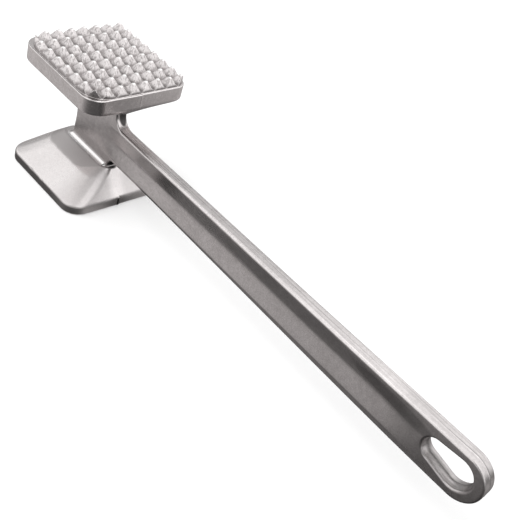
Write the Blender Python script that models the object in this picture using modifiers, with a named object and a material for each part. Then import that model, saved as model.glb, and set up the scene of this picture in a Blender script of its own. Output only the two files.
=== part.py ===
"""Two-sided cast aluminium meat mallet: a toothed plate over a smooth plate, joined by a neck that runs
out into a fluted handle with a hang eye. +Z up, the smooth face rests on z = 0, the handle runs along +X.
All sizes are in mm."""

import math

import bpy
import bmesh

MM = 0.001
SHARP_ANGLE = math.radians(25)
FLAT_ANGLE = math.radians(0.05)  # hull faces closer than this are merged

# Head
HEAD_HEIGHT = 73.1  # smooth face to the foot of the teeth
PLATE_X, PLATE_Y = 63.7, 63.5
PLATE_CORNER = 9.6
SMOOTH_RIM = 5.2  # height of the smooth plate's upright rim
TOOTHED_RIM = 8.9  # height of the toothed plate's upright rim
RIM_EDGE = 0.45  # chamfer on the working edge
BACK_EDGE = 0.7  # chamfer where the rim turns onto the hipped back
PARTING_BULGE = 0.5  # draft: the rim is this much fuller on the plane y = 0 than at its corners

# Hipped backs: each rises from its rim to a flat ridge that carries the neck
RIDGE_X0, RIDGE_X1 = -21.0, 22.0
RIDGE_HALF = 6.3
RIDGE_CORNER = 2.5
SMOOTH_RIDGE = 19.3  # height of the ridge above the smooth face
TOOTHED_RIDGE = 18.6  # depth of the ridge below the foot of the teeth
UNDERSIDE = HEAD_HEIGHT - TOOTHED_RIDGE  # z of the toothed plate's ridge

# Teeth
TEETH = 8
PITCH = 7.94
TOOTH_HEIGHT = 5.4
TOOTH_FLAT = 0.9
TEETH_INSET = 1.3  # flat rim round the toothed field
FIELD_CORNER = 13.0  # rounder than the plate's corners, so it clips the corner teeth
FIELD_SINK = 2.0  # the field is sunk this far into the plate
GROOVE_LIFT = 0.05  # groove floor above the foot of the teeth
GROOVE_RISE = 2.0  # groove cutter above the tooth tips
GROOVE_OVERRUN = 6.0  # groove cutter past the plate at each end

# Neck: its feet stand on the ridges
SEAM = 0.3  # clearance between bodies
FOOT_LOW = SMOOTH_RIDGE + SEAM
FOOT_HIGH = UNDERSIDE - SEAM
NECK_INSET = 0.6  # the neck's outline ends this far inside its feet
NECK_X0 = -14.0
NECK_X1_LOW, NECK_X1_HIGH = 21.0, 19.8
UNDER_FILLET = 4.0
OVER_FILLET = 7.0
FOOT_FILLET = 2.4
FOOT_STATION = 5.0  # the feet take the handle's thickness at this x
# share of the fillet's height, spread to the sides and -X, spread to +X, corner radius
FOOT_LEVELS = (
    (1.0, 0.0, 0.0, 1.5),
    (0.32, 0.8, 0.3, 2.0),
    (0.0, FOOT_FILLET, 0.9, 3.0),
)

# Handle
HALF_AT_0, HALF_PER_MM = 3.47, 0.0031  # half thickness at x = 0 and its growth along the handle
TOP_AT_NECK, BOTTOM_AT_NECK = 46.1, 24.5  # z where the edges leave the neck's fillets
# x, z along each edge, in the order the outline runs
TOP_EDGE = ((125.0, 47.3), (220.0, 48.3), (267.0, 49.0))
BOTTOM_EDGE = ((267.0, 24.0), (220.0, 23.3), (125.0, 23.7))
EDGE_ROUND = 1.1

# Flutes, one in each broad face. They leave a web of even thickness, so they deepen as the
# handle thickens
FLUTE_RADIUS = 17.0
WEB_HALF = 1.2
FLUTE_AXIS_Y = FLUTE_RADIUS + WEB_HALF
FLUTE_START, FLUTE_FULL = 34.0, 70.0  # run-out begins, full depth begins
FLUTE_LAST, FLUTE_END = 234.0, 244.0  # full depth ends, flute ends
FLUTE_Z, FLUTE_CLIMB = 35.4, 0.0071  # centre line's height at x = 0 and its climb per mm
FLUTE_STEPS = 6  # steps in each run-out
FLUTE_TURN_STEPS = 96
# Ends of the flute cutter: how far it runs on in x, and how far it stands off the broad face
START_OVERRUN, START_GAP = 12.0, 1.2
END_OVERRUN, END_GAP = 0.6, 1.5
END_STEP = 0.4  # stand-off where the far run-out finishes

# Hang eye: the hull of two circles (x, z, radius), smaller towards the head
EYE_SMALL = (253.2, 37.4, 6.3)
EYE_LARGE = (265.4, 36.8, 8.4)
EYE_CUT_HALF = 12.0

# Tenons on the neck, in pockets in the plates
TENON_X0, TENON_X1, TENON_HALF = -10.5, 18.5, 2.9
TENON_DEPTH = 7.0
TENON_CORNER = 0.8
TENON_ROOT = 3.0  # overlap with the neck
POCKET_CORNER = 1.0
POCKET_OVERCUT = 4.0  # pocket cutter past the ridge


def clear_scene():
    for obj in list(bpy.data.objects):
        bpy.data.objects.remove(obj, do_unlink=True)


def collection(name, shown):
    made = bpy.data.collections.new(name)
    bpy.context.scene.collection.children.link(made)
    made.hide_render = not shown
    return made


# Outlines, in mm


def arc(centre_x, centre_y, radius, start, end, steps):
    """Points of an arc between two angles in degrees, both ends included."""
    angles = [math.radians(start + (end - start) * i / steps) for i in range(steps + 1)]
    return [(centre_x + radius * math.cos(a), centre_y + radius * math.sin(a)) for a in angles]


def rounded_rectangle(x0, x1, half_y, radius, z, steps, bulge=0.0):
    """Points at height z. The sides that face X may bow out at y = 0."""
    centre_y = half_y - radius
    corners = (
        (x1 - radius, centre_y, 0),
        (x0 + radius, centre_y, 90),
        (x0 + radius, -centre_y, 180),
        (x1 - radius, -centre_y, 270),
    )
    points = []
    for corner_x, corner_y, start in corners:
        corner = arc(corner_x, corner_y, radius, start, start + 90, steps)
        points += [(x, y, z) for x, y in corner]
    if bulge:
        points += [(x1 + bulge, 0.0, z), (x0 - bulge, 0.0, z)]
    return points


# Solids


def object_from(bm, name, home):
    """Make an object of the mesh. In a hidden collection it is a cutter, drawn as wire."""
    bmesh.ops.recalc_face_normals(bm, faces=bm.faces)
    mesh = bpy.data.meshes.new(name)
    bm.to_mesh(mesh)
    bm.free()
    obj = bpy.data.objects.new(name, mesh)
    home.objects.link(obj)
    if home.hide_render:
        obj.hide_render = True
        obj.display_type = "WIRE"
    else:
        mesh.shade_smooth()
        mesh.set_sharp_from_angle(angle=SHARP_ANGLE)
    return obj


def hull(points, name, home):
    bm = bmesh.new()
    for x, y, z in points:
        bm.verts.new((x * MM, y * MM, z * MM))
    made = bmesh.ops.convex_hull(bm, input=bm.verts)
    spare = made["geom_interior"] + made["geom_unused"]
    inner = {v for v in spare if isinstance(v, bmesh.types.BMVert)}
    bmesh.ops.delete(bm, geom=list(inner), context="VERTS")
    bmesh.ops.dissolve_limit(bm, angle_limit=FLAT_ANGLE, verts=bm.verts, edges=bm.edges)
    return object_from(bm, name, home)


def block(name, home, x0, x1, half_y, radius, levels, steps):
    """An upright block with rounded corners between two levels."""
    points = []
    for z in levels:
        points += rounded_rectangle(x0, x1, half_y, radius, z, steps)
    return hull(points, name, home)


def add_prism(bm, ring, shift):
    """Add a ring of points and carry it along shift."""
    face = bm.faces.new([bm.verts.new((x * MM, y * MM, z * MM)) for x, y, z in ring])
    moved = bmesh.ops.extrude_face_region(bm, geom=[face])["geom"]
    verts = [v for v in moved if isinstance(v, bmesh.types.BMVert)]
    bmesh.ops.translate(bm, vec=[step * MM for step in shift], verts=verts)


def prism_y(outline, half, name, home):
    """An X-Z outline carried from y = -half to y = half."""
    bm = bmesh.new()
    add_prism(bm, [(x, -half, z) for x, z in outline], (0, 2 * half, 0))
    return object_from(bm, name, home)


def boolean(target, other, operation):
    modifier = target.modifiers.new(f"{operation.lower()} {other.name}", "BOOLEAN")
    modifier.operation = operation
    modifier.solver = "EXACT"
    modifier.object = other


def metal(obj, colour, roughness):
    material = bpy.data.materials.new(f"{obj.name} cast aluminium")
    material.use_nodes = True
    shader = material.node_tree.nodes["Principled BSDF"]
    shader.inputs["Base Color"].default_value = (*colour, 1.0)
    shader.inputs["Metallic"].default_value = 1.0
    shader.inputs["Roughness"].default_value = roughness
    material.diffuse_color = (*colour, 1.0)
    obj.data.materials.append(material)


# Plates


def plate_points(rim, ridge, toothed):
    """The outline of a plate at each level, from its working face back to the ridge."""
    levels = ((0.0, RIM_EDGE), (RIM_EDGE, 0.0), (rim - BACK_EDGE, 0.0), (rim, BACK_EDGE))
    points = []
    for z, inset in levels:
        # the working edge of the toothed plate is straight
        bulge = 0.0 if toothed and z < rim / 2 else PARTING_BULGE
        half_x, half_y = PLATE_X / 2 - inset, PLATE_Y / 2 - inset
        points += rounded_rectangle(-half_x, half_x, half_y, PLATE_CORNER - inset, z, 8, bulge)
    points += rounded_rectangle(RIDGE_X0, RIDGE_X1, RIDGE_HALF, RIDGE_CORNER, ridge, 4)
    if toothed:
        points = [(x, y, HEAD_HEIGHT - z) for x, y, z in points]
    return points


def pocket(name, z0, z1, home):
    x0, x1, half_y = TENON_X0 - SEAM, TENON_X1 + SEAM, TENON_HALF + SEAM
    return block(name, home, x0, x1, half_y, POCKET_CORNER, (z0, z1), steps=3)


def toothed_field(home):
    half_x, half_y = PLATE_X / 2 - TEETH_INSET, PLATE_Y / 2 - TEETH_INSET
    levels = (HEAD_HEIGHT - FIELD_SINK, HEAD_HEIGHT + TOOTH_HEIGHT)
    return block("toothed field", home, -half_x, half_x, half_y, FIELD_CORNER, levels, steps=10)


def groove_cutter(name, along_x, home):
    """One V between each two rows of teeth, and one beyond each outer row."""
    half = (PITCH - TOOTH_FLAT) / 2
    tip = HEAD_HEIGHT + TOOTH_HEIGHT
    top = tip + GROOVE_RISE
    section = ((0.0, HEAD_HEIGHT + GROOVE_LIFT), (half, tip), (half, top), (-half, top), (-half, tip))
    reach = PLATE_X / 2 + GROOVE_OVERRUN
    bm = bmesh.new()
    for row in range(TEETH + 1):
        centre = (row - TEETH / 2) * PITCH
        if along_x:
            add_prism(bm, [(-reach, centre + across, z) for across, z in section], (2 * reach, 0, 0))
        else:
            add_prism(bm, [(centre + across, -reach, z) for across, z in section], (0, 2 * reach, 0))
    return object_from(bm, name, home)


def build_smooth_plate(home, tools):
    plate = hull(plate_points(SMOOTH_RIM, SMOOTH_RIDGE, toothed=False), "smooth_plate", home)
    floor = SMOOTH_RIDGE - TENON_DEPTH - SEAM
    cut = pocket("smooth pocket", floor, SMOOTH_RIDGE + POCKET_OVERCUT, tools)
    boolean(plate, cut, "DIFFERENCE")
    metal(plate, colour=(0.66, 0.66, 0.66), roughness=0.28)


def build_toothed_plate(home, tools):
    plate = hull(plate_points(TOOTHED_RIM, TOOTHED_RIDGE, toothed=True), "toothed_plate", home)
    boolean(plate, toothed_field(tools), "UNION")
    boolean(plate, groove_cutter("grooves along x", True, tools), "DIFFERENCE")
    boolean(plate, groove_cutter("grooves along y", False, tools), "DIFFERENCE")
    floor = UNDERSIDE + TENON_DEPTH + SEAM
    cut = pocket("toothed pocket", UNDERSIDE - POCKET_OVERCUT, floor, tools)
    boolean(plate, cut, "DIFFERENCE")
    metal(plate, colour=(0.74, 0.74, 0.74), roughness=0.3)


# Handle


def half_thickness(x):
    return HALF_AT_0 + HALF_PER_MM * x


def handle_outline():
    low, high = FOOT_LOW + NECK_INSET, FOOT_HIGH - NECK_INSET
    outline = [(NECK_X0, low), (NECK_X0, high), (NECK_X1_HIGH, high)]
    # the neck's +X edge turns into the handle's top edge
    fillet_x, fillet_z = NECK_X1_HIGH + OVER_FILLET, TOP_AT_NECK + OVER_FILLET
    outline += arc(fillet_x, fillet_z, OVER_FILLET, 180, 266, 8)
    outline += TOP_EDGE
    # round end
    end_x, end_top = TOP_EDGE[-1]
    end_radius = (end_top - BOTTOM_EDGE[0][1]) / 2
    outline += arc(end_x, end_top - end_radius, end_radius, 84, -84, 18)
    outline += BOTTOM_EDGE
    # the bottom edge turns down towards the lower plate
    fillet_x, fillet_z = NECK_X1_LOW + UNDER_FILLET, BOTTOM_AT_NECK - UNDER_FILLET
    outline += arc(fillet_x, fillet_z, UNDER_FILLET, 88, 180, 7)
    outline.append((NECK_X1_LOW, low))
    return outline


def foot(name, base, rise, home):
    """The fillet where the neck meets a ridge; rise is its signed height from the base."""
    half = half_thickness(FOOT_STATION)
    points = []
    for share, spread, spread_x1, corner in FOOT_LEVELS:
        x0, x1, z = NECK_X0 - spread, NECK_X1_HIGH + spread_x1, base + rise * share
        points += rounded_rectangle(x0, x1, half + spread, corner, z, 4)
    return hull(points, name, home)


def tenon(name, z0, z1, home):
    return block(name, home, TENON_X0, TENON_X1, TENON_HALF, TENON_CORNER, (z0, z1), steps=3)


def flute_profile():
    """Distance along the handle and cutter radius, from the handle's far end to the head."""
    # radii at which the cutter just touches the broad face
    touch_start = FLUTE_AXIS_Y - half_thickness(FLUTE_START)
    touch_end = FLUTE_AXIS_Y - half_thickness(FLUTE_END)
    tip_x, tail_x = FLUTE_END + END_OVERRUN, FLUTE_START - START_OVERRUN
    end_radius = touch_end - END_STEP
    shares = [step / FLUTE_STEPS for step in range(FLUTE_STEPS, -1, -1)]
    profile = [(tip_x, 0.0), (tip_x, touch_end - END_GAP)]
    for share in shares:
        angle = share * math.pi / 2
        radius = end_radius + (FLUTE_RADIUS - end_radius) * math.cos(angle)
        profile.append((FLUTE_LAST + (FLUTE_END - FLUTE_LAST) * math.sin(angle), radius))
    for share in shares:
        radius = touch_start + (FLUTE_RADIUS - touch_start) * math.sin(share * math.pi / 2)
        profile.append((FLUTE_START + (FLUTE_FULL - FLUTE_START) * share, radius))
    return profile + [(tail_x, touch_start - START_GAP), (tail_x, 0.0)]


def flute_cutter(name, side, home):
    """A long spindle, turned about an axis outside the broad face, that leaves a shallow hollow."""
    bm = bmesh.new()
    line = [bm.verts.new((radius * MM, 0, x * MM)) for x, radius in flute_profile()]
    for pair in zip(line, line[1:]):
        bm.edges.new(pair)
    cutter = object_from(bm, name, home)
    turn = cutter.modifiers.new("turn", "SCREW")
    turn.axis = "Z"
    turn.angle = math.tau
    turn.screw_offset = 0.0
    turn.steps = turn.render_steps = FLUTE_TURN_STEPS
    turn.use_merge_vertices = True
    turn.merge_threshold = 1e-5
    # the axis follows the flute's centre line
    cutter.rotation_euler = (0, math.pi / 2 - math.atan(FLUTE_CLIMB), 0)
    cutter.location = (0, side * FLUTE_AXIS_Y * MM, FLUTE_Z * MM)
    return cutter


def eye_outline():
    """The hull of the eye's two circles, taken round in order."""
    small_x, small_z, small_radius = EYE_SMALL
    large_x, large_z, large_radius = EYE_LARGE
    run, rise = large_x - small_x, large_z - small_z
    axis = math.degrees(math.atan2(rise, run))
    spread = math.degrees(math.acos((small_radius - large_radius) / math.hypot(run, rise)))
    points = arc(large_x, large_z, large_radius, axis - spread, axis + spread, 20)
    points += arc(small_x, small_z, small_radius, axis + spread, axis + 360 - spread, 14)
    return points


def build_handle(home, tools):
    # a prism of unit half thickness, scaled in y to the handle's taper
    handle = prism_y(handle_outline(), 1.0, "handle", home)
    for vertex in handle.data.vertices:
        vertex.co.y *= half_thickness(vertex.co.x / MM)
    rounding = handle.modifiers.new("edge round", "BEVEL")
    rounding.width = EDGE_ROUND * MM
    rounding.segments = 3
    rounding.limit_method = "ANGLE"
    rounding.angle_limit = math.radians(60)

    added = (
        foot("lower foot", FOOT_LOW, FOOT_FILLET, tools),
        foot("upper foot", FOOT_HIGH, -FOOT_FILLET, tools),
        tenon("lower tenon", FOOT_LOW - TENON_DEPTH, FOOT_LOW + TENON_ROOT, tools),
        tenon("upper tenon", FOOT_HIGH - TENON_ROOT, FOOT_HIGH + TENON_DEPTH, tools),
    )
    cut = (
        flute_cutter("near flute", -1, tools),
        flute_cutter("far flute", 1, tools),
        prism_y(eye_outline(), EYE_CUT_HALF, "hang eye", tools),
    )
    for other in added:
        boolean(handle, other, "UNION")
    for other in cut:
        boolean(handle, other, "DIFFERENCE")
    metal(handle, colour=(0.62, 0.62, 0.63), roughness=0.3)


def build():
    clear_scene()
    home = collection("meat_mallet", shown=True)
    tools = collection("cutters", shown=False)
    build_smooth_plate(home, tools)
    build_toothed_plate(home, tools)
    build_handle(home, tools)


build()
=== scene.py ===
"""A two-sided cast aluminium meat mallet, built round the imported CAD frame.

It stands on its smooth plate, working face at z = 0, with the toothed plate on top, teeth up.
The handle is a neck between the two plates and a fluted bar that runs out along +X to a hang eye.
Each piece is the surface of a distance function in millimetres; materials and studio are in metres.
"""

import math
from itertools import product

import bpy
import numpy as np
from mathutils import Matrix, Vector


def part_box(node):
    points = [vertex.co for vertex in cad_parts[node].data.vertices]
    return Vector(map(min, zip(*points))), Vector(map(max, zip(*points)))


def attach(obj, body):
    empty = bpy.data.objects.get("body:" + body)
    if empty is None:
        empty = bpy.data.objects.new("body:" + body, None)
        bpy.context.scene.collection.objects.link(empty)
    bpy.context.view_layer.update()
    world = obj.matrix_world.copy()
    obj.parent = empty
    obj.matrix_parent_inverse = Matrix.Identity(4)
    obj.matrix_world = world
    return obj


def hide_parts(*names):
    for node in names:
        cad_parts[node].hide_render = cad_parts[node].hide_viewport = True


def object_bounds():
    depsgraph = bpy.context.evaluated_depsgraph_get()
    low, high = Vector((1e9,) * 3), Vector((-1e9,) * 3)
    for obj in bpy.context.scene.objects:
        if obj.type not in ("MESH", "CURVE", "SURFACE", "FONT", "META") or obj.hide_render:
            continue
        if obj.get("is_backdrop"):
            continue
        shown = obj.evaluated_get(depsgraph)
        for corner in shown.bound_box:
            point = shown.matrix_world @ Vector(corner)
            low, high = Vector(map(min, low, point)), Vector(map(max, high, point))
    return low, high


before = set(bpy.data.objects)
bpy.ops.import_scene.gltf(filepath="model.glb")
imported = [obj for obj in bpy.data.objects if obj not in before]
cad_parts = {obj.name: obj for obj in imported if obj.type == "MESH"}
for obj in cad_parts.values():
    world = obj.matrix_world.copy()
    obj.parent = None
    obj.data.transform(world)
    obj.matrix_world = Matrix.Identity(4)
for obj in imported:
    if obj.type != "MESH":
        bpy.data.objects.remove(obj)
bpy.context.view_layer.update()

# ---------------------------------------------------------------- sizes, mm


def piece_box(name):
    low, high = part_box(name)
    return np.array(low) * 1000, np.array(high) * 1000


SMOOTH_LOW, SMOOTH_HIGH = piece_box("smooth_plate")
TOOTHED_LOW, TOOTHED_HIGH = piece_box("toothed_plate")
HANDLE_LOW, HANDLE_HIGH = piece_box("handle")
BOX_LOW = np.minimum(np.minimum(SMOOTH_LOW, TOOTHED_LOW), HANDLE_LOW)
BOX_HIGH = np.maximum(np.maximum(SMOOTH_HIGH, TOOTHED_HIGH), HANDLE_HIGH)

# plates
HALF_X = (float(SMOOTH_HIGH[0] - SMOOTH_LOW[0]) - 1.0) / 2
HALF_Y = float(SMOOTH_HIGH[1] - SMOOTH_LOW[1]) / 2
PARTING_BULGE, BULGE_REACH = 0.45, 26.0  # the ends swell towards y = 0
PLATE_CORNER, TIGHT_CORNER = 9.6, 7.4  # the tight one is at +X +Y
SMOOTH_RIM, TOOTHED_RIM = 5.1, 8.7  # height of the upright part
RIM_EDGE, RIDGE_EDGE, FACE_EDGE = 0.9, 0.35, 0.5  # edge radii
RIDGE_X0, RIDGE_X1, RIDGE_HALF, RIDGE_CORNER = -20.2, 22.0, 6.3, 6.1
SHOULDER = 0.70  # share of the back's height where the side slope changes
SHOULDER_BEND = 0.085
LOW_RIDGE = float(SMOOTH_HIGH[2])  # top of the smooth plate
HIGH_RIDGE = float(TOOTHED_LOW[2])  # underside of the toothed plate

# teeth
TOOTH_TIP = float(TOOTHED_HIGH[2])
TOOTH_FOOT = TOOTH_TIP - 5.4
TOOTH_HEIGHT = TOOTH_TIP - TOOTH_FOOT
TOOTH_PITCH, TOOTH_FLAT = 7.94, 1.45
GROOVE_LIFT = 0.05  # groove bottoms above the plate

# bar and neck
END = float(HANDLE_HIGH[0])
BAR_START, NOSE_X = 6.0, END - 12.5  # the bar's round end is centred on NOSE_X
EDGE_X = np.array([28.0, 125.0, 220.0, NOSE_X])
TOP_Z = np.polyfit(EDGE_X, [46.15, 47.35, 48.3, 49.0], 3)
BOTTOM_Z = np.polyfit(EDGE_X, [24.45, 23.75, 23.35, 24.0], 3)
NECK_X0, NECK_X1 = -13.9, 20.2
NECK_Z, NECK_HALF = 36.9, 21.0
FLUTE_DEPTH, FLUTE_BEAD = 0.292, 0.085  # depth per mm inside the outline; lip along the outline
FLUTE_END = 252.7  # centre of the flute's round end
EYE_NEAR, EYE_FAR = (253.2, 37.4, 6.3), (265.4, 36.8, 8.4)  # x, z, radius
EYE_DRAFT, EYE_EDGE = 0.95, 1.0
TENON_X0, TENON_X1, TENON_Y, TENON_CORNER = -10.5, 18.5, 2.9, 0.8
TENON_REACH = 6.7  # each way from the ridge

# ---------------------------------------------------------------- distance functions


def corner_distance(a, b):
    return np.minimum(np.maximum(a, b), 0) + np.hypot(np.maximum(a, 0), np.maximum(b, 0))


def overlap(a, b, radius):
    """Where two solids overlap, with the edge between them rounded."""
    return corner_distance(a + radius, b + radius) - radius


def join(a, b, radius):
    """Two solids joined, with the inner corner between them filleted."""
    return -overlap(-a, -b, radius)


def step(value, start, end):
    share = np.clip((value - start) / (end - start), 0, 1)
    return share * share * (3 - 2 * share)


def bell(value, width, power=2):
    return np.exp(-((value / width) ** power))


def soft_positive(value, softness):
    return 0.5 * (value + np.sqrt(value * value + softness * softness))


def round_box(x, y, x0, x1, y0, y1, radius):
    past_x = np.abs(x - (x0 + x1) / 2) - (x1 - x0) / 2 + radius
    past_y = np.abs(y - (y0 + y1) / 2) - (y1 - y0) / 2 + radius
    return corner_distance(past_x, past_y) - radius


def plate(x, y, height, rim, ridge):
    """An upright rim, then a hipped back up to a flat ridge.

    height is measured from the working face towards the neck."""
    bulge = PARTING_BULGE * np.clip(1 - np.abs(y) / BULGE_REACH, 0, 1)
    # at the +X end the bulge is smaller on the +Y side of the parting plane
    end_bulge = bulge * (1 - 0.75 * step(y, -0.25, 0.25))
    corner = np.where((x > 0) & (y > 0), TIGHT_CORNER, PLATE_CORNER)
    wall = round_box(x, y, -HALF_X - bulge, HALF_X + end_bulge, -HALF_Y, HALF_Y, corner)

    # the outline of the back at this height: share runs 0 to 1 from rim to ridge
    rise = ridge - rim
    share = np.clip((height - rim) / rise, -0.3, 1.2)
    inner = np.clip(share, 0, 1)
    hollow = inner * (1 - inner)  # fullest half way up
    bend = (SHOULDER_BEND * soft_positive((inner - SHOULDER) / (1 - SHOULDER), 0.10)
            - SHOULDER_BEND * inner)
    x0 = -HALF_X - bulge * (1 - share) + (RIDGE_X0 + HALF_X) * share - 3.0 * hollow
    x1 = (HALF_X + end_bulge * np.clip(1 - 3.0 * share, 0, 1)
          + (RIDGE_X1 - HALF_X) * share - 0.8 * hollow)
    half_y = HALF_Y + (RIDGE_HALF - HALF_Y) * (share + bend)
    radius = corner + (RIDGE_CORNER - corner) * share + 17.0 * hollow
    radius = np.clip(radius, 0.5, half_y - 0.05)
    past_x = np.abs(x - (x0 + x1) / 2) - (x1 - x0) / 2 + radius
    past_y = np.abs(y) - half_y + radius
    hip = corner_distance(past_x, past_y) - radius

    # soft radial waves left by grinding round the corners
    turn = np.arctan2(np.maximum(past_y, 0) + 1e-6, np.maximum(past_x, 0) + 1e-6)
    waves = np.sin(turn * 17.0 + 0.4) * np.sin(2 * turn)
    waves = waves * step(inner, 0.02, 0.2) * (1 - step(inner, 0.55, 0.75))
    hip = hip + np.where((past_x > 0) & (past_y > 0), 0.05 * waves, 0)

    # the slope of each side turns the level distance into a true one
    slope_x, slope_y = 11.0 / rise, (HALF_Y - RIDGE_HALF) / rise
    weight_x, weight_y = np.maximum(past_x, 1e-6), np.maximum(past_y, 1e-6)
    slope = (weight_x * slope_x + weight_y * slope_y) / np.hypot(weight_x, weight_y)
    hip = hip / np.sqrt(1 + slope * slope)
    return overlap(overlap(wall, hip, RIM_EDGE), height - ridge, RIDGE_EDGE)


# pips (+) and dents (-) on the smooth plate's -Y rim: centre, reach, depth
RIM_MARKS = (
    ((4.4, -31.6, 2.9), (1.0, 1.0, 1.6), 0.30),
    ((1.6, -31.2, 5.0), (1.8, 1.2, 0.9), -0.26),
    ((-8.6, -31.3, 4.9), (1.8, 1.0, 0.6), -0.18),
)


def smooth_back(x, y, z):
    solid = plate(x, y, z, SMOOTH_RIM, LOW_RIDGE)
    # flash left at the parting plane
    flash = bell(y, 0.5) * bell(z - 2.4, 3.7, 6) * step(np.abs(x), 27.0, 30.0)
    solid = solid - 0.50 * flash
    for (cx, cy, cz), (rx, ry, rz), depth in RIM_MARKS:
        away = ((x - cx) / rx) ** 2 + ((y - cy) / ry) ** 2 + ((z - cz) / rz) ** 2
        solid = solid - depth * np.exp(-away)
    return overlap(solid, -z, FACE_EDGE)


def toothed_back(x, y, z):
    solid = plate(x, y, TOOTH_FOOT - z, TOOTHED_RIM, TOOTH_FOOT - HIGH_RIDGE)
    flash = bell(y, 0.5) * step(np.abs(x), 29.0, 30.5)
    solid = solid - 0.06 * flash * bell(z - TOOTH_FOOT + 4.4, 4.2, 4)
    return overlap(solid, z - TOOTH_FOOT, FACE_EDGE)


def tooth_groove(across, z):
    """Distance to the surface left by the V grooves that lie side by side along one axis."""
    off = np.abs(across - TOOTH_PITCH * np.round(across / TOOTH_PITCH))
    off = np.sqrt(off * off + 0.09) - 0.26  # rounds the groove's bottom
    slope = (TOOTH_HEIGHT - GROOVE_LIFT) / ((TOOTH_PITCH - TOOTH_FLAT) / 2)
    return (z - TOOTH_FOOT - GROOVE_LIFT - slope * off) / math.hypot(1, slope)


def teeth(x, y, z):
    """The toothed field: upright at its sides, rounded at its corners."""
    right = np.where(y > 0, 8.0, 13.0)
    left = np.where(y > 0, 10.0, 13.0)
    field = round_box(x, y, -30.8, 31.1, -30.7, 31.1, np.where(x > 0, right, left))
    # the tips differ a little in height
    i, j = np.floor(x / TOOTH_PITCH), np.floor(y / TOOTH_PITCH)
    uneven = 0.16 * np.sin(i * 12.9898 + j * 78.233 + 0.7)
    uneven = uneven + 0.12 * np.sin(i * 39.425 - j * 27.17)
    points = overlap(tooth_groove(x, z), tooth_groove(y, z), 0.5)
    points = overlap(points, z - TOOTH_TIP + 0.30 + uneven, 0.6)
    points = overlap(points, field, 0.4)
    return np.maximum(points, TOOTH_FOOT - 3.0 - z)


def half_thickness(x):
    return 3.47 + 0.0031 * x


def flute_inside(x, z):
    """How far a point of a broad face lies inside the flute's outline."""
    middle = 35.45 + 0.0071 * x
    half = 8.2 + 0.0046 * x
    dx, dz = np.maximum(x - FLUTE_END, 0), z - middle
    return half - (np.sqrt(dx * dx + dz * dz + 1.7 * 1.7) - 0.62)


def eye(x, z):
    """Distance to the hang eye's outline: two circles and their common tangents."""
    (near_x, near_z, near_radius), (far_x, far_z, far_radius) = EYE_NEAR, EYE_FAR
    span = math.hypot(far_x - near_x, far_z - near_z)
    ux, uz = (far_x - near_x) / span, (far_z - near_z) / span
    along = (x - near_x) * ux + (z - near_z) * uz
    across = np.abs((x - near_x) * -uz + (z - near_z) * ux)
    sine = (near_radius - far_radius) / span
    cosine = math.sqrt(1 - sine * sine)
    tangent = -sine * across + cosine * along
    near = np.hypot(across, along) - near_radius
    far = np.hypot(across, along - span) - far_radius
    side = across * cosine + along * sine - near_radius
    return np.where(tangent < 0, near, np.where(tangent > cosine * span, far, side))


def bar_and_neck(x, y, z):
    station = np.clip(x, 20.0, NOSE_X)
    top, bottom = np.polyval(TOP_Z, station), np.polyval(BOTTOM_Z, station)
    middle, half = (top + bottom) / 2, (top - bottom) / 2
    bar = np.hypot(np.maximum(x - NOSE_X, 0), z - middle) - half
    bar = np.maximum(bar, BAR_START - x)
    waist = 0.5 * bell(z - 31.0, 6.0)
    neck = np.maximum(NECK_X0 + waist - x, x - NECK_X1)
    neck = np.maximum(neck, np.abs(z - NECK_Z) - NECK_HALF)
    outline = join(neck, bar, 3.4 + 4.1 * step(z, 32.0, 38.0))
    parting = bell(y, 0.42)
    outline = outline - (0.03 + 0.12 * step(x, 255.0, 268.0)) * parting

    inside = flute_inside(x, z)
    fade = step(x, 9.0, 46.0) * step(eye(x, z), -0.6, 5.5) * (1 - step(x, 218.0, 251.0))
    depth = FLUTE_DEPTH * soft_positive(inside, 0.4) * fade
    bead = FLUTE_BEAD * bell(inside + 0.55, 0.5) * fade
    face = np.abs(y) - (half_thickness(x) - depth + bead)
    edge = 1.35 + 0.5 * step(x, 20.0, 45.0) - 0.85 * step(x, 150.0, 250.0)
    body = overlap(outline, face, edge)

    # the hang eye narrows towards the parting plane
    hole = eye(x, z) + EYE_DRAFT * (1 - np.abs(y) / half_thickness(x)) + 0.12 * parting
    return overlap(body, -hole, EYE_EDGE)


def foot(x):
    """Fillet radius at both ends of the neck; it dies away before the neck's +X side."""
    return 3.2 - 2.9 * step(x, 17.6, 19.8)


def handle(x, y, z):
    """Bar and neck, flaring on to both plates; it stops at their ridges apart from its tenons."""
    body = bar_and_neck(x, y, z)
    joined = join(join(body, smooth_back(x, y, z), foot(x)), toothed_back(x, y, z), foot(x))
    # just past each ridge it shrinks away inside the plate
    joined = joined + 0.07 * (step(LOW_RIDGE - z, 0.0, 0.25) + step(z - HIGH_RIDGE, 0.0, 0.25))
    joined = np.maximum(joined, np.maximum(LOW_RIDGE - 0.6 - z, z - HIGH_RIDGE - 0.6))
    by_plate = (z < LOW_RIDGE + 0.1) | (z > HIGH_RIDGE - 0.1)
    joined = np.maximum(joined, np.where(by_plate, body - foot(x) - 0.02, -9.0))
    tenon = round_box(x, y, TENON_X0, TENON_X1, -TENON_Y, TENON_Y, TENON_CORNER)
    for ridge in (LOW_RIDGE, HIGH_RIDGE):
        joined = np.minimum(joined, np.maximum(tenon, np.abs(z - ridge) - TENON_REACH))
    return joined


def smooth_plate(x, y, z):
    back = join(bar_and_neck(x, y, z), smooth_back(x, y, z), foot(x))
    return np.maximum(back, z - LOW_RIDGE)


def toothed_plate(x, y, z):
    back = join(bar_and_neck(x, y, z), toothed_back(x, y, z), foot(x))
    return join(np.maximum(back, HIGH_RIDGE - z), teeth(x, y, z), 0.3)


# ---------------------------------------------------------------- surfaces from distance functions


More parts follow.
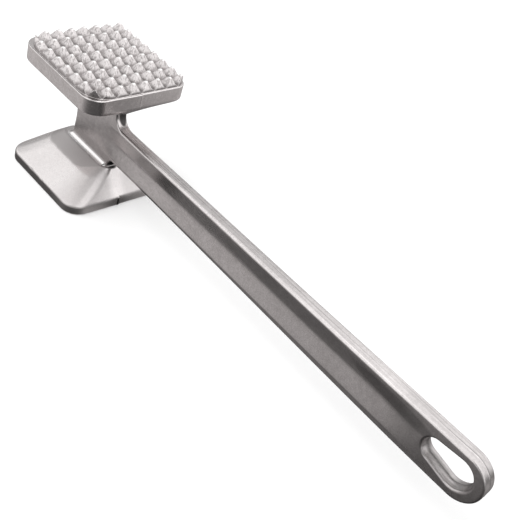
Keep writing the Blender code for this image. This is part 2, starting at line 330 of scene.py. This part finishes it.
def evaluate(field, points):
    """The field at each point, kept inside the CAD's own box."""
    outside = np.maximum(BOX_LOW - points, points - BOX_HIGH).max(axis=1)
    return np.maximum(field(points[:, 0], points[:, 1], points[:, 2]), outside)


def gradient(field, points, reach=0.03):
    out = np.empty_like(points)
    for axis in range(3):
        shift = np.zeros(3)
        shift[axis] = reach
        out[:, axis] = evaluate(field, points + shift) - evaluate(field, points - shift)
    return out / (2 * reach)


def sample(field, low, size, counts):
    """The field at every grid point, worked out a slab at a time to spare memory."""
    xs, ys, zs = [low[i] + size[i] * np.arange(counts[i]) for i in range(3)]
    values = np.empty(counts)
    slab = max(1, int(400_000 / (counts[1] * counts[2])))
    for start in range(0, counts[0], slab):
        part = slice(start, start + slab)
        values[part] = field(xs[part, None, None], ys[None, :, None], zs[None, None, :])
    return values


def cell_points(values, cells):
    """For each cell, the mean of the places where its edges cross the surface, in grid steps."""
    sums, hits = np.zeros((len(cells), 3)), np.zeros(len(cells))
    for axis in range(3):
        others = [other for other in range(3) if other != axis]
        for offset in product((0, 1), repeat=2):
            start = cells.copy()
            start[:, others] += offset
            end = start.copy()
            end[:, axis] += 1
            at_start, at_end = values[tuple(start.T)], values[tuple(end.T)]
            crossed = (at_start < 0) != (at_end < 0)
            share = np.where(crossed, at_start / np.where(crossed, at_start - at_end, 1), 0)
            place = start.astype(float)
            place[:, axis] += share
            sums += place * crossed[:, None]
            hits += crossed
    return sums / hits[:, None]


def cell_quads(inside, index):
    """A quad round every grid edge that the surface crosses, wound to face outwards."""
    counts = inside.shape
    quads = []
    for axis in range(3):
        u, v = ((1, 2), (2, 0), (0, 1))[axis]
        first, second = [slice(None)] * 3, [slice(None)] * 3
        first[axis], second[axis] = slice(0, counts[axis] - 1), slice(1, counts[axis])
        edges = np.argwhere(inside[tuple(first)] != inside[tuple(second)])
        keep = (edges[:, u] > 0) & (edges[:, v] > 0)
        keep &= (edges[:, u] < counts[u] - 1) & (edges[:, v] < counts[v] - 1)
        edges = edges[keep]
        around = []
        for offset in ((-1, -1), (0, -1), (0, 0), (-1, 0)):
            cell = edges.copy()
            cell[:, [u, v]] += offset
            around.append(index[tuple(cell.T)])
        quad = np.stack(around, 1)
        outward = inside[tuple(edges.T)]
        quads.append(np.where(outward[:, None], quad, quad[:, ::-1]))
    return np.concatenate(quads)


def surface(field, low, high, size):
    """(points, quads, normals): one point in each crossed cell, then moved on to the surface."""
    counts = [int(math.ceil((high[i] - low[i]) / size[i])) + 1 for i in range(3)]
    values = sample(field, low, size, counts)
    inside = values < 0
    nx, ny, nz = (count - 1 for count in counts)
    total = sum(
        inside[dx : nx + dx, dy : ny + dy, dz : nz + dz].astype(np.int8)
        for dx, dy, dz in product((0, 1), repeat=3)
    )
    cells = np.argwhere((total > 0) & (total < 8))
    index = -np.ones((nx, ny, nz), np.int64)
    index[tuple(cells.T)] = np.arange(len(cells))
    points = np.array(low) + cell_points(values, cells) * np.array(size)
    quads = cell_quads(inside, index)

    start = points.copy()
    reach = np.array(size) * 0.75
    for _ in range(4):
        slope = gradient(field, points)
        steepness = np.maximum((slope * slope).sum(1), 0.05)
        points = points - slope * (evaluate(field, points) / steepness)[:, None]
        points = np.clip(points, start - reach, start + reach)
    normals = gradient(field, points)
    normals /= np.maximum(np.linalg.norm(normals, axis=1), 1e-9)[:, None]
    return points, quads, normals


def make_piece(name, field, low, high, size):
    coarseness = 1.0
    points, quads, normals = surface(field, low, high, [side * coarseness for side in size])
    mesh = bpy.data.meshes.new(name)
    mesh.vertices.add(len(points))
    mesh.vertices.foreach_set("co", (points * 0.001).astype(np.float32).ravel())
    mesh.loops.add(quads.size)
    mesh.loops.foreach_set("vertex_index", quads.astype(np.int32).ravel())
    mesh.polygons.add(len(quads))
    mesh.polygons.foreach_set("loop_start", np.arange(0, quads.size, 4, dtype=np.int32))
    mesh.update(calc_edges=True)
    mesh.validate()
    mesh.shade_smooth()
    mesh.normals_split_custom_set_from_vertices(normals.astype(np.float32))
    return link_object(name, mesh)


def link_object(name, data):
    made = bpy.data.objects.new(name, data)
    bpy.context.scene.collection.objects.link(made)
    return made


# ---------------------------------------------------------------- node trees


class Value:
    """A node's output that can be reckoned with: each operation makes one Math node."""

    def __init__(self, graph, socket):
        self.graph, self.socket = graph, socket

    def __add__(self, other):
        return self.graph.math("ADD", self, other)

    def __sub__(self, other):
        return self.graph.math("SUBTRACT", self, other)

    def __rsub__(self, other):
        return self.graph.math("SUBTRACT", other, self)

    def __mul__(self, other):
        return self.graph.math("MULTIPLY", self, other)

    def __truediv__(self, other):
        return self.graph.math("DIVIDE", self, other)

    def __pow__(self, other):
        return self.graph.math("POWER", self, other)

    def __lt__(self, other):
        return self.graph.math("LESS_THAN", self, other)

    def __gt__(self, other):
        return self.graph.math("GREATER_THAN", self, other)

    def __abs__(self):
        return self.graph.math("ABSOLUTE", self)

    def scaled(self, factor, offset, clamp=False):
        return self.graph.math("MULTIPLY_ADD", self, factor, offset, clamp)

    def rest(self):
        """What is left of 1, never below 0."""
        return self.graph.math("SUBTRACT", 1.0, self, clamp=True)

    def ramp(self, *stops, kind="EASE"):
        """A grey ramp through (place, level) stops."""
        node = self.graph.make("ShaderNodeValToRGB", self)
        node.color_ramp.interpolation = kind
        elements = node.color_ramp.elements
        while len(elements) > 1:
            elements.remove(elements[-1])
        elements[0].position = stops[0][0]
        elements[0].color = (stops[0][1],) * 3 + (1,)
        for place, level in stops[1:]:
            elements.new(place).color = (level,) * 3 + (1,)
        return Value(self.graph, node.outputs[0])


class Graph:
    """A short way to write node trees."""

    def __init__(self, tree):
        self.tree = tree

    def put(self, socket, value):
        if isinstance(value, Value):
            self.tree.links.new(value.socket, socket)
        else:
            socket.default_value = value

    def make(self, kind, *inputs, **named):
        """A node. Lower-case names are its settings; capitalised ones are inputs."""
        node = self.tree.nodes.new(kind)
        for name, value in named.items():
            if name.islower():
                setattr(node, name, value)
            else:
                self.put(node.inputs[name], value)
        for place, value in enumerate(inputs):
            self.put(node.inputs[place], value)
        return node

    def add(self, kind, *inputs, output=0, **named):
        return Value(self, self.make(kind, *inputs, **named).outputs[output])

    def outputs(self, kind, *names):
        """Several outputs of one new node."""
        node = self.make(kind)
        return [Value(self, node.outputs[name]) for name in names]

    def split(self, vector):
        node = self.make("ShaderNodeSeparateXYZ", vector)
        return [Value(self, socket) for socket in node.outputs]

    def math(self, operation, first, second=0.0, third=0.0, clamp=False):
        return self.add("ShaderNodeMath", first, second, third,
                        operation=operation, use_clamp=clamp)

    def vector(self, operation, *inputs, **named):
        return self.add("ShaderNodeVectorMath", *inputs, operation=operation, **named)

    def noise(self, vector, scale, detail, roughness):
        return self.add("ShaderNodeTexNoise",
                        Vector=vector, Scale=scale, Detail=detail, Roughness=roughness)

    def stretch(self, vector, scale):
        return self.add("ShaderNodeMapping", Vector=vector, Scale=scale)

    def mix(self, share, first, second):
        node = self.make("ShaderNodeMix", share, data_type="RGBA")
        self.put(node.inputs[6], first)
        self.put(node.inputs[7], second)
        return Value(self, node.outputs[2])

    def around(self, way, aim, full, gone, left):
        """`left` within `full` degrees of the aim, easing to 1 beyond `gone` degrees."""
        dot = self.vector("DOT_PRODUCT", way, aim, output="Value")
        limits = math.cos(math.radians(gone)), math.cos(math.radians(full))
        return self.add("ShaderNodeMapRange", dot, *limits, 1.0, left,
                        interpolation_type="SMOOTHSTEP")

    def mirrored_again(self):
        """1 for light that has met the metal twice."""
        return self.add("ShaderNodeLightPath", output="Glossy Depth") > 1.5


# ---------------------------------------------------------------- metals, m

# painted shade: dark ellipsoidal patches where shade falls (under the web at both ends of the neck,
# round the eye, along the flute's upper half, in the +X rim's seam crease): centre, reach, strength
PAINTED_SHADE_PATCHES = (
    ((0.0226, 0.0, 0.0213), (0.0037, 0.0058, 0.0030), 0.98),
    ((0.0214, 0.0005, 0.0535), (0.0042, 0.0028, 0.0082), 0.88),
    ((0.2593, 0.0, 0.0370), (0.0170, 0.0029, 0.0098), 0.33),
    ((0.2620, 0.0, 0.0370), (0.0420, 0.0500, 0.0400), 0.14),
    ((0.2270, 0.0, 0.0418), (0.0300, 0.0500, 0.0044), 0.36),
    ((0.2600, 0.0, 0.0370), (0.0400, 0.0500, 0.0122), 0.10),
    ((0.1720, 0.0, 0.0415), (0.0760, 0.0500, 0.0058), 0.24),
    ((0.0318, -0.0008, 0.0024), (0.0034, 0.0006, 0.0034), 0.85),
)


class CastMetal(Graph):
    """Tumbled cast aluminium: faint cloudy tone, uneven polish and fine grain."""

    def __init__(self, name, light, dark, roughness, spread):
        self.material = bpy.data.materials.new(name)
        self.material.use_nodes = True
        super().__init__(self.material.node_tree)
        self.dark = dark
        self.place = self.add("ShaderNodeTexCoord", output="Object")
        self.tall = self.split(self.place)[2]
        self.cloud = self.noise(self.place, scale=70.0, detail=4.0, roughness=0.55)
        self.mottle = self.noise(self.place, scale=420.0, detail=3.0, roughness=0.6)
        self.fine = self.noise(self.place, scale=1500.0, detail=2.0, roughness=0.5)
        tone = self.cloud * 0.30 + self.mottle * 0.30 + self.fine * 0.40
        tone = tone.ramp((0.40, 0.0), (0.60, 1.0), kind="LINEAR")
        self.colour = self.mix(tone, (*dark, 1), (*light, 1))
        rough = self.mottle.scaled(spread, roughness - spread / 2)
        self.roughness = self.cloud.scaled(spread * 0.8, rough - spread * 0.4)
        self.height = self.mottle * 0.6 + self.fine * 0.35

    def tint(self, share, colour):
        self.colour = self.mix(share, self.colour, (*colour, 1))

    def darken(self, share, factors):
        self.tint(share, [level * factor for level, factor in zip(self.dark, factors)])

    def normal(self, axis):
        return self.split(self.add("ShaderNodeNewGeometry", output="Normal"))[axis]

    def finish(self, grain):
        """Lay on the painted shade patches and wire up the shader; grain is the depth of the bumps.
        """
        for centre, reach, strength in PAINTED_SHADE_PATCHES:
            off = self.vector("SUBTRACT", self.place, centre)
            off = self.vector("DIVIDE", off, reach)
            off = self.vector("LENGTH", off, output="Value")
            # painted shade: each patch darkens the colour towards near black where shade falls
            painted_shade = off.ramp((0.70, 1.0), (1.0, 0.0)) * strength
            self.tint(painted_shade, (0.02, 0.019, 0.019))
            self.roughness = self.roughness + painted_shade * 0.25
        inputs = self.tree.nodes["Principled BSDF"].inputs
        self.put(inputs["Base Color"], self.colour)
        self.put(inputs["Metallic"], 1.0)
        self.put(inputs["Roughness"], self.roughness)
        bump = self.add("ShaderNodeBump", Strength=1.0, Distance=grain, Height=self.height)
        self.put(inputs["Normal"], bump)
        return self.material


def add_dressing_lines(metal):
    """Dressing lines run along X, and show on the faces that look up or down."""
    stretched = metal.stretch(metal.place, (5.0, 1100.0, 1100.0))
    lines = metal.noise(stretched, scale=1.0, detail=3.0, roughness=0.65)
    facing = abs(metal.normal(2)) ** 3.0
    metal.height = metal.height + lines * 2.2 * facing
    metal.roughness = metal.roughness + lines * 0.10 * facing
    shaded = lines.ramp((0.35, 1.0), (0.52, 0.0)) * (facing * 0.45)
    metal.darken(shaded, (0.62, 0.62, 0.62))


def add_seam(metal, across):
    """A thin, wavering dark line at y = 0 on the narrow edges, stronger towards the bar's end."""
    half_width = 0.00028
    wavering = across + metal.cloud.scaled(0.0006, -0.0003)
    seam = (abs(wavering) * (1 / half_width)).rest()
    edgewise = abs(metal.normal(1)).rest()
    seam = seam * edgewise**2.0
    seam = seam * metal.split(metal.place)[0].ramp((0.235, 0.30), (0.265, 1.0))
    metal.tint(seam * 0.92, (0.16, 0.155, 0.15))


def add_shoulder(metal, level, sign):
    """On one side (sign) of a height the surface is rougher and its colour darker."""
    edge_blur = 0.0007
    wobble = metal.mottle.scaled(0.0012, -0.0006)
    along = metal.split(metal.place)[0]
    # towards +X the lighter, smoother part reaches nearer the ridge
    rise = along.scaled(50.0, -0.4, clamp=True).ramp((0.0, 0.0), (0.62, 1.0)) * 0.0042
    past = (metal.tall + wobble - level) * sign - rise
    raw = past.scaled(1 / edge_blur, 0.5, clamp=True)
    metal.roughness = metal.roughness + raw * 0.17
    metal.darken(raw * 0.75, (0.66, 0.655, 0.655))
    metal.height = metal.height + metal.fine * 0.8 * raw


def add_foot_painted_highlight(metal, across):
    """The fillet at the neck's lower end gets a painted highlight: lighter colour standing in for
    the light it catches.
    """
    low = metal.tall < 0.0209
    out = (abs(across) * 100.0).ramp((0.372, 0.0), (0.41, 1.0))
    bright = low * out * (metal.split(metal.place)[0] < 0.0195)
    # painted highlight: near-white colour on the fillet's outer band
    metal.tint(bright * 0.9, (0.97, 0.95, 0.945))


def add_tooth_wear_and_groove_shade(metal):
    """Painted shade in the grooves, darker scratched flanks and bright worn tips."""
    tooth_foot, tip = TOOTH_FOOT / 1000, TOOTH_TIP / 1000
    above = metal.tall - (tooth_foot + 0.0001)
    share = metal.math("DIVIDE", above, tip - tooth_foot, clamp=True)
    on_teeth = metal.tall > tooth_foot + 0.00012
    # painted shade: the grooves between the teeth darken towards their bottoms
    grooves = share.ramp((0.0, 1.0), (0.16, 0.62), (0.42, 0.0)) * on_teeth
    stretched = metal.stretch(metal.place, (1050.0, 1050.0, 150.0))
    scratches = metal.noise(stretched, scale=1.0, detail=2.0, roughness=0.6)
    rubbed = scratches.ramp((0.40, 1.0), (0.50, 0.0)) * (on_teeth * 0.66)
    metal.darken(metal.math("MAXIMUM", grooves * 0.85, rubbed), (0.50, 0.49, 0.49))
    worn = share.ramp((0.76, 0.0), (0.88, 1.0))
    metal.tint(worn * 0.8, (1.0, 0.98, 0.975))
    metal.roughness = metal.roughness + on_teeth * 0.08
    metal.height = metal.height + scratches * 2.4 * on_teeth


def handle_metal():
    metal = CastMetal("satin cast aluminium", light=(0.83, 0.79, 0.785),
                      dark=(0.66, 0.625, 0.62), roughness=0.235, spread=0.08)
    add_dressing_lines(metal)
    across = metal.split(metal.place)[1]
    add_seam(metal, across)
    add_foot_painted_highlight(metal, across)
    return metal.finish(grain=0.000020)


def smooth_metal():
    metal = CastMetal("ground cast aluminium", light=(0.82, 0.785, 0.78),
                      dark=(0.74, 0.705, 0.70), roughness=0.24, spread=0.06)
    add_shoulder(metal, level=0.0150, sign=1.0)
    # the back is polished less under the bar, away from y = 0
    x, y, _ = metal.split(metal.place)
    dull = x.scaled(90.0, -0.9, clamp=True) * abs(y).scaled(250.0, -0.5, clamp=True)
    metal.roughness = metal.roughness + dull * 0.20
    return metal.finish(grain=0.000010)


def toothed_metal():
    metal = CastMetal("toothed cast aluminium", light=(0.92, 0.875, 0.87),
                      dark=(0.75, 0.71, 0.705), roughness=0.26, spread=0.08)
    add_shoulder(metal, level=0.0588, sign=-1.0)
    add_tooth_wear_and_groove_shade(metal)
    return metal.finish(grain=0.000020)


# ---------------------------------------------------------------- the object

# name, field, metal, then the grid it is sampled on in mm: low, high, cell size
PIECES = (
    ("handle", handle, handle_metal,
     (-18.4, -7.6, 12.1), (END + 0.6, 7.6, 61.7), (0.72, 0.34, 0.42)),
    ("smooth_plate", smooth_plate, smooth_metal,
     (-33.4, -33.0, -0.9), (33.4, 33.0, 20.2), (0.5, 0.5, 0.45)),
    ("toothed_plate", toothed_plate, toothed_metal,
     (-33.4, -33.0, 53.6), (33.4, 33.0, 79.2), (0.43, 0.43, 0.425)),
)

for name, field, metal, low, high, size in PIECES:
    piece = make_piece(name + "_cast", field, low, high, size)
    piece.data.materials.append(metal())
    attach(piece, "root")
    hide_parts(name)

# ---------------------------------------------------------------- studio, m

# soft grey cards: direction, full within degrees, gone beyond degrees, share of light left
CARDS = (
    ((-0.66, 0.06, 0.75), 9.0, 19.0, 0.30),
    ((-0.36, -0.32, 0.87), 2.0, 12.0, 0.54),
    ((0.03, -0.20, 0.97), 2.0, 17.0, 0.62),
    ((0.60, -0.64, 0.48), 12.0, 30.0, 0.28),
    ((0.34, -0.47, 0.81), 10.0, 20.0, 0.12),
    ((0.76, 0.64, -0.05), 6.0, 16.0, 0.50),
    ((-0.78, 0.53, 0.36), 8.0, 44.0, 0.42),
)
# sky levels from the horizon up, on the -Y and +Y sides: ramps hold at most 1, so they are halved
SKY_NEAR = ((0.0, 0.22), (0.12, 0.32), (0.28, 0.54), (0.50, 0.56), (0.73, 0.56), (0.86, 0.78),
            (1.0, 0.78))
SKY_FAR = ((0.0, 0.20), (0.2, 0.42), (0.36, 0.58), (0.56, 0.58), (0.70, 0.60), (0.85, 0.76),
           (1.0, 0.76))
SKY_GAIN = 2.0
# the floor's level in the metal, by distance from the mallet in units of SHADE_REACH
FLOOR_SHADE = ((0.0, 0.042), (0.02, 0.090), (0.05, 0.130), (0.12, 0.18), (0.17, 0.24),
               (0.30, 0.41), (0.7, 0.50), (1.0, 0.53))
SHADE_REACH = 0.2


def studio_world():
    """A white studio with soft grey cards, greyer low down, and grey below the horizon."""
    world = bpy.data.worlds.new("studio")
    bpy.context.scene.world = world
    world.use_nodes = True
    world.node_tree.nodes.clear()
    graph = Graph(world.node_tree)
    way = graph.add("ShaderNodeTexCoord", output="Generated")
    _, y, z = graph.split(way)
    near, far = z.ramp(*SKY_NEAR), z.ramp(*SKY_FAR)
    side = y.scaled(1.3, 0.5, clamp=True).ramp((0.0, 0.0), (1.0, 1.0))
    sky = graph.mix(side, near, far)
    light = SKY_GAIN
    for direction, full, gone, left in CARDS:
        light = graph.around(way, tuple(Vector(direction).normalized()), full, gone, left) * light
    light = light * graph.mirrored_again().scaled(-0.54, 1.0)
    sky = graph.vector("SCALE", sky, Scale=light)
    tall = z.scaled(0.5, 0.5)
    ground = tall.ramp((0.0, 0.30), (0.35, 0.34), (0.5, 0.36))
    glossy = graph.mix(tall.ramp((0.5, 0.0), (0.53, 1.0)), ground, sky)
    camera_ray, glossy_ray = graph.outputs("ShaderNodeLightPath", "Is Camera Ray", "Is Glossy Ray")
    seen = graph.mix(glossy_ray, (0.95, 0.95, 0.95, 1), glossy)
    seen = graph.mix(camera_ray, seen, (1.0, 1.0, 1.0, 1))
    background = graph.add("ShaderNodeBackground", Color=seen, Strength=1.0)
    graph.make("ShaderNodeOutputWorld", background)


def floor_material():
    """A pale floor; mirrored in the metal it is darker close under the mallet."""
    material = bpy.data.materials.new("pale floor")
    material.use_nodes = True
    material.node_tree.nodes.clear()
    graph = Graph(material.node_tree)
    position, incoming, backfacing = graph.outputs(
        "ShaderNodeNewGeometry", "Position", "Incoming", "Backfacing")
    x, y, _ = graph.split(position)
    # the shade reaches further on the side away from the key light
    y = y * (y > 0.0).scaled(-0.4, 1.0)

    def beyond(value, half):
        return graph.math("MAXIMUM", abs(value) - half, 0.0)

    def length(a, b):
        return graph.math("SQRT", a * a + b * b)

    head = length(beyond(x, 0.028), beyond(y, 0.026)).scaled(1.9, 0.006)
    grip = length(beyond(x - 0.14, 0.14), beyond(y, 0.004))
    away = graph.math("MINIMUM", head, grip) / SHADE_REACH
    shade = away.ramp(*FLOOR_SHADE, kind="LINEAR")

    back_x, back_y, _ = graph.split(incoming)
    level = graph.vector("NORMALIZE", graph.add("ShaderNodeCombineXYZ", X=back_x, Y=back_y))

    def facing(bearing, gone, full, left):
        """Change to `left` about a bearing in degrees of the way back up the ray."""
        aim = (math.cos(math.radians(bearing)), math.sin(math.radians(bearing)), 0)
        return graph.around(level, aim, full, gone, left)

    # darker towards the camera's side (+X -Y), and far off towards +X +Y
    far = (away / 2.0).ramp((0.25, 0.0), (0.7, 1.0))
    dim = far * (1.0 - facing(bearing=-139, gone=27, full=10, left=0.2))
    flag = facing(bearing=139, gone=86, full=5, left=0.17) * (1.0 - dim)
    # close to the plate: darker along the -Y side, lighter towards +X +Y
    close = (head * 20.0).ramp((0.66, 1.0), (1.0, 0.0))
    sides = (facing(bearing=60, gone=100, full=30, left=0.5)
             * facing(bearing=-141, gone=30, full=8, left=2.5))
    flag = flag * close.scaled(sides - 1.0, 1.0)
    again = graph.mirrored_again()
    mirror = shade * flag * again.scaled(0.5, 1.0)
    mirror = graph.math("MAXIMUM", mirror, again * 0.16)
    mirror = graph.mix(mirror, (0, 0, 0, 1), (1, 0.972, 0.966, 1))
    mirror = graph.add("ShaderNodeEmission", Color=mirror, Strength=1.0)
    plain = graph.add("ShaderNodeBsdfDiffuse", Color=(0.84, 0.84, 0.84, 1))
    lift = graph.add("ShaderNodeEmission", Color=(1, 1, 1, 1), Strength=0.20)
    pale = graph.add("ShaderNodeAddShader", plain, lift)
    glossy_ray, ray_length = graph.outputs("ShaderNodeLightPath", "Is Glossy Ray", "Ray Length")
    either = graph.add("ShaderNodeMixShader", glossy_ray, pale, mirror)
    clear = graph.add("ShaderNodeBsdfTransparent")
    # touching the working face it would only ever mirror black
    touching = glossy_ray * (ray_length < 0.001)
    through = graph.math("MAXIMUM", backfacing, touching)
    both = graph.add("ShaderNodeMixShader", through, either, clear)
    graph.make("ShaderNodeOutputMaterial", both)
    return material


def make_floor(radius=4.0, level=-0.0002, sides=64):
    mesh = bpy.data.meshes.new("floor")
    turns = [math.tau * i / sides for i in range(sides)]
    ring = [(radius * math.cos(turn), radius * math.sin(turn), level) for turn in turns]
    mesh.from_pydata(ring, [], [tuple(range(sides))])
    mesh.materials.append(floor_material())
    link_object("floor", mesh)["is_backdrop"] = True


def make_key_light():
    light = bpy.data.lights.new("key", "AREA")
    light.shape = "RECTANGLE"
    light.size = light.size_y = 0.9
    light.energy = 6.0
    key = link_object("key", light)
    key.location = (-0.35, -0.5, 1.1)
    target = Vector((0.1, 0, 0.03))
    key.rotation_mode = "QUATERNION"
    key.rotation_quaternion = (key.location - target).to_track_quat("Z", "Y")
    key.visible_glossy = False


# the world seen from the camera: axis times angle, and the world's origin in camera axes
CAMERA_TURN = Vector((2.0008019530606913, 1.0224234656511226, -0.099270494099042))
CAMERA_SHIFT = Vector((-0.10221647570869962, -0.051591092099576606, 0.46628527967141173))


def make_camera():
    lens = bpy.data.cameras.new("camera")
    lens.lens, lens.sensor_width = 55.052, 36.0
    lens.clip_start, lens.clip_end = 0.01, 50.0
    camera = link_object("camera", lens)
    looking = Matrix.Rotation(CAMERA_TURN.length, 3, CAMERA_TURN.normalized())
    right, down, ahead = looking
    axes = Matrix((right, -down, -ahead)).transposed().to_4x4()
    camera.matrix_world = Matrix.Translation(-(looking.transposed() @ CAMERA_SHIFT)) @ axes
    bpy.context.scene.camera = camera


studio_world()
make_floor()
make_key_light()
make_camera()
bpy.context.scene.view_settings.view_transform = "Standard"

low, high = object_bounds()
